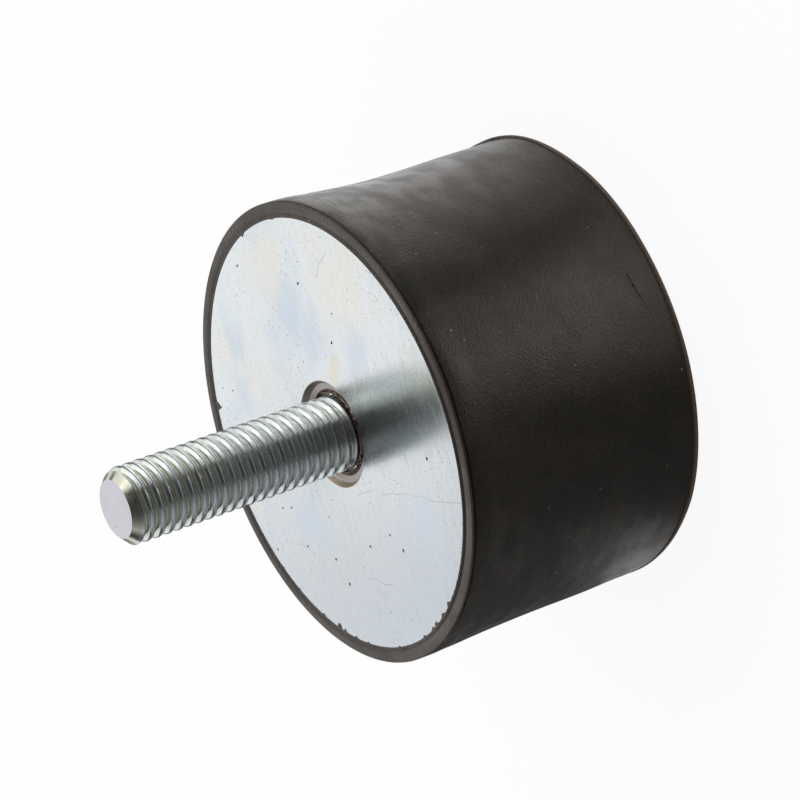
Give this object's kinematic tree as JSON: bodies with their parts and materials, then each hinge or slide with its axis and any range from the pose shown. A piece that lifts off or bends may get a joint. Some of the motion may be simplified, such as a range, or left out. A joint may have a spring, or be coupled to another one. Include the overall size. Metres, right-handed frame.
{
  "type": "cylindrical vibration damper",
  "caption": "Rubber cylinder bonded between steel discs, with a threaded stud at one end and a blind threaded bush at the other, to mount a machine and damp vibration.",
  "frame": {"origin": "centre of the rear face, where the damper stands", "axes": "+Z along the damper's axis, from the rear face towards the stud; X and Y are equal"},
  "size_m": [0.06, 0.06, 0.066],
  "materials": {
    "rubber": "satin moulded",
    "plate_zinc": "bright zinc plated",
    "stud_zinc": "bright zinc plated"
  },
  "bodies": {
    "root": {"rubber_body": "rubber", "front_plate": "plate_zinc", "threaded_stud": "stud_zinc", "rear_plate": "plate_zinc", "threaded_bush": "stud_zinc"}
  },
  "joints": []
}
